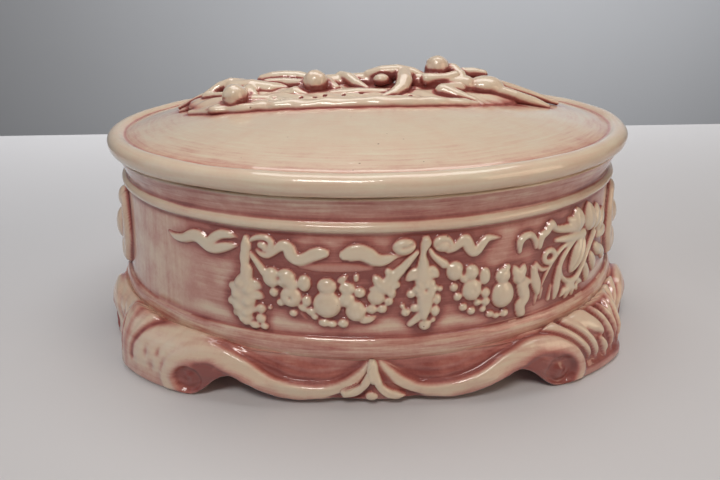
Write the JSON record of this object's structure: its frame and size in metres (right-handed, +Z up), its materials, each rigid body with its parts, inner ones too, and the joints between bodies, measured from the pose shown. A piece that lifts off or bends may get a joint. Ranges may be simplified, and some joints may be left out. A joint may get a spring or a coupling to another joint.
{
  "type": "trinket box",
  "caption": "Oval glazed ceramic trinket box on scroll feet, with fruit garlands and ribbons in relief round the wall and a loose domed lid carrying reclining cherubs",
  "frame": {"origin": "middle of the outline, at the level of the table under the feet", "axes": "+X along the oval, +Y towards the back, +Z up; the front faces -Y"},
  "size_m": [0.1956, 0.1446, 0.0888],
  "materials": {
    "body_glaze": "glossy cream glaze with a rose wash left in the hollows",
    "base_glaze": "glossy cream glaze with a rose wash left in the grooves",
    "relief_glaze": "glossy cream glaze on the high points, rose wash round the edges",
    "lid_glaze": "glossy cream glaze with faint rose brush streaks",
    "figure_glaze": "glossy cream glaze with rose wash in the folds"
  },
  "bodies": {
    "box": {"vessel": "body_glaze", "apron_front": "base_glaze", "apron_right": "base_glaze", "apron_back": "base_glaze", "apron_left": "base_glaze", "apron_leaf_front": "relief_glaze", "apron_leaf_right": "relief_glaze", "apron_leaf_back": "relief_glaze", "apron_leaf_left": "relief_glaze", "scroll_foot_front_right": "base_glaze", "scroll_foot_front_left": "base_glaze", "scroll_foot_back_left": "base_glaze", "scroll_foot_back_right": "base_glaze", "ribbon_tail_front": "relief_glaze", "ribbon_tail_back": "relief_glaze", "ribbon_middle_front": "relief_glaze", "ribbon_middle_back": "relief_glaze", "ribbon_end_front": "relief_glaze", "ribbon_end_back": "relief_glaze", "fruit_drop_left_front": "relief_glaze", "fruit_drop_left_back": "relief_glaze", "fruit_drop_right_front": "relief_glaze", "fruit_drop_right_back": "relief_glaze", "fruit_garland_left_front": "relief_glaze", "fruit_garland_left_back": "relief_glaze", "fruit_garland_right_front": "relief_glaze", "fruit_garland_right_back": "relief_glaze", "palmette_front": "relief_glaze", "palmette_back": "relief_glaze", "end_festoon_right": "relief_glaze", "end_festoon_left": "relief_glaze"},
    "lid": {"lid_dome": "lid_glaze", "lid_locating_ring": "lid_glaze", "cloud_bank": "figure_glaze", "cherub_left": "figure_glaze", "cherub_middle": "figure_glaze", "cherub_right": "figure_glaze"}
  },
  "joints": [
    {"name": "lid_lift", "type": "slide", "parent": "box", "child": "lid", "axis": [0, 0, 1], "range_m": [0, 0.08]}
  ]
}
